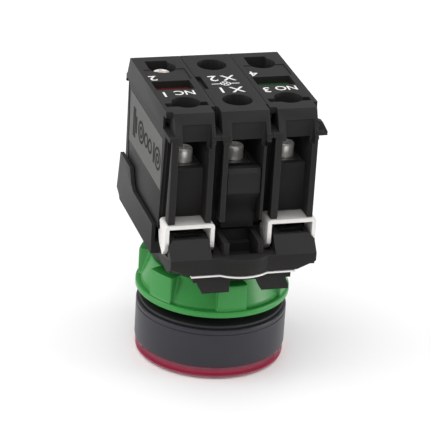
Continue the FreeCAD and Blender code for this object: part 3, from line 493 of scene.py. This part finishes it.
# %% [markdown]
# ## Bezel and gasket
# The bezel is a plain dark ring with a thin groove near its rear edge, where the two halves of its mould
# meet. The gasket is a flat rubber ring whose outer edge is pressed a little round.

# %% Bezel and gasket
BEZEL_WALL, BEZEL_REAR_WALL, SEAT_WIDTH = 0.85, 2, 3.25
GROOVE_RISE, GROOVE_WIDTH, GROOVE_DEPTH = 0.85, 0.22, 0.18


def bezel():
    """Outline: front lip, outer wall with its groove, rear face, and the step inside for the shank."""
    outer, front, rear = reach_of("bezel")
    bore = outer - BEZEL_WALL
    inner = reach_of("panel_gasket")[0] - SEAT_WIDTH
    groove, step = rear - GROOVE_RISE, rear - BEZEL_REAR_WALL
    corners = [(bore, front), (outer, front), (outer, groove - GROOVE_WIDTH),
               (outer - GROOVE_DEPTH, groove - GROOVE_WIDTH), (outer - GROOVE_DEPTH, groove), (outer, groove),
               (outer, rear), (inner, rear), (inner, step), (bore, step)]
    radii = [0.3, 0.3, 0.08, 0.05, 0.05, 0.08, 0.35, 0.2, 0.2, 0.3]
    piece = turned("bezel_ring", eased(corners, radii), body_of("bezel"), polycarbonate_grey)
    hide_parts("bezel")
    return piece


def gasket():
    """Outline: a flat ring with its outer edge rounded by half its thickness."""
    outer, low, high = reach_of("panel_gasket")
    inner = outer - SEAT_WIDTH
    corners = [(inner, low), (outer, low), (outer, high), (inner, high)]
    piece = turned("gasket_ring", eased(corners, [0.1, 0.3, 0.3, 0.1]), body_of("panel_gasket"), nitrile_black)
    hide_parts("panel_gasket")
    return piece


for piece in (bezel(), gasket()):
    print(piece.name, "faces", len(piece.data.polygons))

# %% [markdown]
# ## Boot and lens
# The boot is one soft moulding: a clear face with a round edge, and a skirt that tucks into the bezel. It gets
# a mesh of its own. The lens behind it is a disc with a slightly crowned face and fine rings that spread the
# lamp's light.

# %% Boot and lens
BOOT_WALL, SKIRT_WALL, SKIRT_PAST_LENS, LIP_GAP, BOOT_KEPT = 0.5, 0.3, 0.5, 0.05, 0.25
LENS_CROWN, LENS_LIFT, LENS_ROUND, LENS_BEVEL, RING_PITCH, RING_DEPTH = 0.05, 0.1, 0.5, 0.1, 0.8, 0.03


def boot():
    """Outline: outside face, rounded edge, lip on the bezel, skirt, and the inside back to the axis."""
    outer, front, rear = reach_of("protective_boot")
    lip = reach_of("bezel")[1] - LIP_GAP
    skirt = reach_of("red_lens")[0] + SKIRT_PAST_LENS
    inside = skirt - SKIRT_WALL
    corners = [(0, front), (outer, front), (outer, lip), (skirt, lip), (skirt, rear), (inside, rear),
               (inside, front + BOOT_WALL), (0, front + BOOT_WALL)]
    radii = [0, 1.3, 0.25, 0.05, 0.1, 0.1, 0.3, 0]
    piece = turned("boot_membrane", eased(corners, radii, 9), body_of("protective_boot"), silicone_painted_glow)
    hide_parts("protective_boot")
    return piece


def lens():
    """A crowned disc: its face rises by the crown times one minus the share of the radius squared, and
    carries rings of a sine wave RING_PITCH apart that fade out at the rim."""
    outer, front, rear = reach_of("red_lens")
    share = np.linspace(0, 1, 120)
    radius = share * (outer - LENS_ROUND)
    rings = RING_DEPTH * np.sin(2 * np.pi * radius / RING_PITCH) * (1 - share ** 4)
    face = np.stack([radius, front + LENS_LIFT - LENS_CROWN * (1 - share ** 2) + rings], -1)
    turn = np.linspace(0, np.pi / 2, 8)[1:]
    edge = np.stack([outer - LENS_ROUND * (1 - np.sin(turn)),
                     front + LENS_LIFT + LENS_ROUND * (1 - np.cos(turn))], -1)
    back = np.array([(outer, rear - LENS_BEVEL), (outer - LENS_BEVEL, rear), (0, rear)])
    piece = turned("lens_dish", np.concatenate([face, edge, back]), body_of("red_lens"), polycarbonate_red)
    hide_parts("red_lens")


soft = boot()
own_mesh(soft)
lens()
print("boot faces", len(soft.data.polygons))

# %% [markdown]
# ## Fixing nut
# The nut is a flange with a crown on it. Six lobes stand up round the crown for the fitter's fingers, and
# between them the crown slopes in like a cone. A body of revolution would lose the lobes, so its radius
# depends on the angle too: the lobe's radius, less a scoop that eases in and out over a degree or two.

# %% Nut
LOBES, LOBE_HALF, EASE = 6, 11.0, 1.6
LOBE_INSET, FLANGE_HEIGHT, NUT_BORE, SCOOP_FOOT, SCOOP_TOP = 0.45, 1.3, 10.96, 0.6, 2.35
CORNER, NIB, BORE_CHAMFER, ROOT = 0.25, 0.08, 0.3, 0.12


def nut():
    """Rows go up the outside, in over the top and down the bore. On the outside the radius at angle a and
    height z is the lobe's radius minus scoop(a) times depth(z), where scoop is a smooth step between a
    lobe and its neighbour, and depth grows in a straight line from the flange to the top."""
    flange, foot, top = reach_of("fixing_nut")
    lobe, rim = flange - LOBE_INSET, foot + FLANGE_HEIGHT
    mouth = NUT_BORE + BORE_CHAMFER
    angle = np.linspace(0, 2 * np.pi, 720, endpoint=False)
    from_lobe = np.degrees(np.abs((angle + np.pi / 2 + np.pi / LOBES) % (2 * np.pi / LOBES) - np.pi / LOBES))
    t = np.clip((from_lobe - LOBE_HALF) / EASE, 0, 1)
    scoop = t * t * (3 - 2 * t)
    share = np.linspace(0, 1, 8)[:, None]
    wall = lobe - scoop * (SCOOP_FOOT + (SCOOP_TOP - SCOOP_FOOT) * share)
    heights = (rim + (top - CORNER - rim) * share)[:, 0]
    rows = [(mouth, foot), (flange - CORNER, foot), (flange - NIB, foot + NIB), (flange, foot + CORNER),
            (flange, rim - CORNER), (flange - NIB, rim - NIB), (flange - CORNER, rim), (wall[0] + ROOT, rim)]
    rows += list(zip(wall, heights))
    rows += [(wall[-1] - NIB, top - NIB), (wall[-1] - CORNER, top), (mouth, top),
             (NUT_BORE, top - BORE_CHAMFER), (NUT_BORE, foot + BORE_CHAMFER)]
    radius = np.array([row[0] + 0 * angle for row in rows])
    height = np.array([row[1] + 0 * angle for row in rows])
    points = np.stack([radius * np.cos(angle), radius * np.sin(angle), height], -1)
    piece = from_grid("nut_lobed", points, body_of("fixing_nut"), polyamide_green)
    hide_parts("fixing_nut")
    return piece


print("nut faces", len(nut().data.polygons))

# %% [markdown]
# ## Printed marks
# The terminals carry the usual generic numbers and the words for normally closed and normally open. They
# are pad printed in white, a few hundredths of a millimetre thick. A text curve is made into a mesh, and
# then turned so that it reads from the rear, as the fitter stands.

# %% Terminal marks
def printed_ink(name, colour):
    """Pad-printed ink: matt, and a little uneven where the pad pressed less."""
    material, tree, place = new_material(name)
    patch = add(tree, "ShaderNodeTexNoise", {"Vector": place, "Scale": per_mm(0.6), "Detail": 2.0})
    tone = add(tree, "ShaderNodeMapRange", {"Value": patch.outputs["Fac"], "To Min": 0.86, "To Max": 1.06})
    paint = add(tree, "ShaderNodeVectorMath", {0: linear(colour)[:3], "Scale": tone.outputs["Result"]},
                operation="SCALE")
    shader = add(tree, "ShaderNodeBsdfPrincipled",
                 {"Base Color": paint.outputs["Vector"], "Roughness": 0.6, "Specular IOR Level": 0.1})
    add(tree, "ShaderNodeOutputMaterial", {"Surface": shader.outputs["BSDF"]})
    return material


ink_white = printed_ink("ink_white_pad_printed", "#e6e6e4")
ink_dark = printed_ink("marks_dark_moulded", "#101010")
INK, STROKE_EXTRA = 0.03, 0.03
SIZE_OVER_CAPITALS = 1.35   # a font's size over the height of its capitals


def printed(text, x, y, z, size, spread=1.0):
    """Text as a thin mesh, size millimetres high, centred at (x, y) on the plane z, read from the rear."""
    curve = bpy.data.curves.new("mark_" + text, "FONT")
    curve.body, curve.size, curve.extrude = text, size * MM * SIZE_OVER_CAPITALS, INK * MM / 2
    curve.align_x, curve.align_y = "CENTER", "CENTER"
    curve.space_character = spread
    curve.offset = STROKE_EXTRA * MM
    holder = bpy.data.objects.new("holder", curve)
    bpy.context.scene.collection.objects.link(holder)
    bpy.context.view_layer.update()
    mesh = bpy.data.meshes.new_from_object(holder.evaluated_get(bpy.context.evaluated_depsgraph_get()))
    bpy.data.objects.remove(holder)
    turn = Matrix.Rotation(math.pi, 4, "Z")
    mesh.transform(Matrix.Translation(Vector((x, y, z + INK / 2)) * MM) @ turn)
    return mesh


def join_marks(name, meshes, material, body):
    """Several flat marks as one piece."""
    work = bmesh.new()
    for mesh in meshes:
        work.from_mesh(mesh)
    mesh = bpy.data.meshes.new(name)
    work.to_mesh(mesh)
    work.free()
    mesh.materials.clear()
    mesh.materials.append(material)
    piece = bpy.data.objects.new(name, mesh)
    bpy.context.scene.collection.objects.link(piece)
    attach(piece, body)
    return piece


def plate_points(corners, z0, z1):
    """A flat prism of these (x, y) corners between two heights, as a mesh in metres."""
    count = len(corners)
    points = [(x * MM, y * MM, z * MM) for z in (z0, z1) for x, y in corners]
    sides = [(i, (i + 1) % count, count + (i + 1) % count, count + i) for i in range(count)]
    mesh = bpy.data.meshes.new("plate")
    mesh.from_pydata(points, [], [tuple(range(count))[::-1], tuple(range(count, 2 * count))] + sides)
    return mesh


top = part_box("nc_housing")[1].z / MM
strip_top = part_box("nc_identity_strip")[1].z / MM
pitch = -sum(corner.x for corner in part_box("nc_housing")) / 2 / MM
DIGIT, WORD, LAMP_MARK, LAMP_SPREAD = 2.5, 2.1, 2.8, 1.4
REAR_AT, FRONT_AT, WORD_AT = (-3.1, 3.9), (-3.0, -4.9), (1.0, -4.45)
LAMP_REAR_AT, LAMP_FRONT_AT = (0.0, 2.1), (0.1, -4.0)
marks = []
for middle, rear_number, front_number, word in ((-pitch, "2", "1", "NC"), (pitch, "4", "3", "NO")):
    marks.append(printed(rear_number, middle + REAR_AT[0], REAR_AT[1], strip_top, DIGIT))
    marks.append(printed(front_number, middle + FRONT_AT[0], FRONT_AT[1], top, DIGIT))
    marks.append(printed(word, middle + WORD_AT[0], WORD_AT[1], top, WORD))
join_marks("terminal_marks", marks, ink_white, "root")
lamp_marks = [printed("X2", *LAMP_REAR_AT, top, LAMP_MARK, LAMP_SPREAD),
              printed("X1", *LAMP_FRONT_AT, top, LAMP_MARK, LAMP_SPREAD)]
join_marks("lamp_terminal_marks", lamp_marks, ink_white, "root")
print("marks", len(marks) + len(lamp_marks))

# %% [markdown]
# ## Side label
# A paler pad lies on the outer wall of the normally closed block, a few hundredths of a millimetre thick,
# with a row of dark marks on it. The marks are plain bars and rings, which stand for nothing. The pad's
# lower and upper edges run parallel, and rise a little towards the rear.

# %% Side label
LABEL, RING_LINE = 0.04, 0.55
PAD_DROP, PAD_INSET, PAD_LEAN = (5.8, 16.4), (4.6, 5.2), 0.2
BARS = ((9.6, 6.0, 0.7), (8.5, 6.0, 0.7), (7.4, 3.4, 0.8), (-6.4, 4.0, 0.8))          # y, height, width
RINGS = ((3.6, 2.3), (3.6, 1.2), (-0.4, 1.5), (-3.4, 1.5), (-9.4, 2.3), (-9.4, 1.1))  # y, radius


def on_wall(mesh, wall_x):
    """Turns a flat mesh drawn in (y, z) as (x, y) on to the plane x = wall_x, facing outwards to -X."""
    stand = Matrix(((0, 0, -1, wall_x * MM), (1, 0, 0, 0), (0, 1, 0, 0), (0, 0, 0, 1)))
    mesh.transform(stand)
    return mesh


def ring_points(middle, radius, width, count=24):
    """A flat ring, as a closed band of quads between two circles with the same centre."""
    angle = np.linspace(0, 2 * np.pi, count, endpoint=False)
    circle = np.stack([np.cos(angle), np.sin(angle)], -1)
    points = np.concatenate([circle * radius, circle * (radius - width)]) + np.array(middle)
    points = np.column_stack([points, np.full(2 * count, LABEL * 2)]) * MM
    index = np.arange(count)
    after = np.roll(index, -1)
    quads = np.stack([index, after, after + count, index + count], -1)
    mesh = bpy.data.meshes.new("ring")
    mesh.from_pydata(points.tolist(), [], quads.tolist())
    return mesh


def side_label():
    """The pad's four corners follow the wall between its ends, and the marks sit on its middle line."""
    low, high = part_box("nc_housing")
    wall = low.x / MM
    upper, lower = (high.z / MM - drop for drop in PAD_DROP)
    rear, front = high.y / MM - PAD_INSET[0], low.y / MM + PAD_INSET[1]
    pad = plate_points([(rear, lower + PAD_LEAN), (front, lower), (front, upper - PAD_LEAN), (rear, upper)],
                       0, LABEL)
    pad.materials.append(label_grey)
    piece = bpy.data.objects.new("side_label", on_wall(pad, wall))
    bpy.context.scene.collection.objects.link(piece)
    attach(piece, "root")
    middle = (upper + lower) / 2
    marks = []
    for y, height, width in BARS:
        marks.append(plate_points([(y - width / 2, middle - height / 2), (y + width / 2, middle - height / 2),
                                   (y + width / 2, middle + height / 2), (y - width / 2, middle + height / 2)],
                                  LABEL, 2 * LABEL))
    for y, radius in RINGS:
        marks.append(ring_points((y, middle), radius, RING_LINE))
    join_marks("side_marks", [on_wall(mark, wall) for mark in marks], ink_dark, "root")


label_grey = moulded("polyamide_label_pad_matt", "#464644", "#4e4e4c", "#60605e", 0.55, gloss=0.35)
side_label()
print("label pad and marks made")

# %% [markdown]
# ## Lamp symbol
# Between its two terminal numbers the lamp module carries the usual generic sign for a lamp: a ring with a
# cross in it and a lead on each side, printed like the numbers.

# %% Lamp symbol
SYMBOL_AT, SYMBOL_RADIUS, SYMBOL_LINE, SYMBOL_LEAD = (0.0, -0.9), 1.05, 0.25, 1.7


def bar(middle, length, turn):
    """A thin bar of the symbol, turned by an angle about its middle."""
    along = np.array([np.cos(turn), np.sin(turn)]) * length / 2
    across = np.array([-np.sin(turn), np.cos(turn)]) * SYMBOL_LINE / 2
    middle = np.array(middle)
    corners = [middle - along - across, middle + along - across, middle + along + across,
               middle - along + across]
    return plate_points([tuple(corner) for corner in corners], 0, INK)


ring = ring_points((0, 0), SYMBOL_RADIUS, SYMBOL_LINE)
ring.transform(Matrix.Translation((0, 0, (INK - 2 * LABEL) * MM)))
lead_at = SYMBOL_RADIUS + SYMBOL_LEAD / 2
symbol = [ring, bar((0, 0), 2 * SYMBOL_RADIUS, math.pi / 4), bar((0, 0), 2 * SYMBOL_RADIUS, -math.pi / 4),
          bar((lead_at, 0), SYMBOL_LEAD, 0), bar((-lead_at, 0), SYMBOL_LEAD, 0)]
for mesh in symbol:
    mesh.transform(Matrix.Translation(Vector((*SYMBOL_AT, top)) * MM))
join_marks("lamp_symbol", symbol, ink_white, "root")
print("lamp symbol pieces", len(symbol))

# %% [markdown]
# ## Studio
# A pale floor touches the button's face. The world is a pale sky, brightest overhead, and three large soft
# boxes model the form: a broad one above and in front, a side one that lifts the left wall, and a small
# one at the right that draws a light along the nut and the bezel.

# %% Floor and light
FLOOR_HALF = 2.0
AIM = Vector((0, 0, 0.015))


def floor_material():
    """Painted studio floor: near white, with a drift of tone too faint to see as a pattern."""
    material, tree, place = new_material("studio_floor_painted")
    drift = add(tree, "ShaderNodeTexNoise", {"Vector": place, "Scale": 2.0, "Detail": 2.0})
    tone = add(tree, "ShaderNodeMix", {"Factor": drift.outputs["Fac"], "A": linear("#f7f7f7"),
                                       "B": linear("#f4f4f4")}, data_type="RGBA")
    shader = add(tree, "ShaderNodeBsdfPrincipled", {"Base Color": tone.outputs["Result"], "Roughness": 0.6})
    add(tree, "ShaderNodeOutputMaterial", {"Surface": shader.outputs["BSDF"]})
    return material


def floor():
    """A flat sheet, 4 m square, level with the lowest point of the object."""
    half, height = FLOOR_HALF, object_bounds()[0][2]
    corners = [(-half, -half, height), (half, -half, height), (half, half, height), (-half, half, height)]
    mesh = bpy.data.meshes.new("floor")
    mesh.from_pydata(corners, [], [(0, 1, 2, 3)])
    mesh.materials.append(floor_material())
    sheet = bpy.data.objects.new("floor", mesh)
    bpy.context.scene.collection.objects.link(sheet)
    sheet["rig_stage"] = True


def soft_box(name, place, size, watts):
    """Square area light that faces the object's middle."""
    lamp = bpy.data.lights.new(name, "AREA")
    lamp.size, lamp.energy = size, watts
    holder = bpy.data.objects.new(name, lamp)
    bpy.context.scene.collection.objects.link(holder)
    place = Vector(place)
    turn = (place - AIM).to_track_quat("Z", "Y").to_matrix().to_4x4()
    holder.matrix_world = Matrix.Translation(place) @ turn


floor()
soft_box("top_front", (-0.15, -0.35, 0.6), 0.5, 1.2)
soft_box("left_side", (-0.7, 0.1, 0.3), 0.6, 2.4)
soft_box("right_strip", (0.65, -0.25, 0.1), 0.3, 2.0)


def sky(zenith, horizon):
    """Even light whose strength grows from the horizon to the zenith with the height of the direction."""
    world = bpy.data.worlds.new("sky")
    bpy.context.scene.world = world
    world.use_nodes = True
    tree = world.node_tree
    tree.nodes.clear()
    direction = add(tree, "ShaderNodeTexCoord").outputs["Generated"]
    height = add(tree, "ShaderNodeSeparateXYZ", {"Vector": direction}).outputs["Z"]
    strength = add(tree, "ShaderNodeMapRange", {"Value": height, "To Min": horizon, "To Max": zenith})
    light = add(tree, "ShaderNodeBackground",
                {"Color": linear("#ffffff"), "Strength": strength.outputs["Result"]})
    add(tree, "ShaderNodeOutputWorld", {"Surface": light.outputs["Background"]})


sky(1.35, 0.15)
bpy.context.scene.view_settings.view_transform = "Standard"
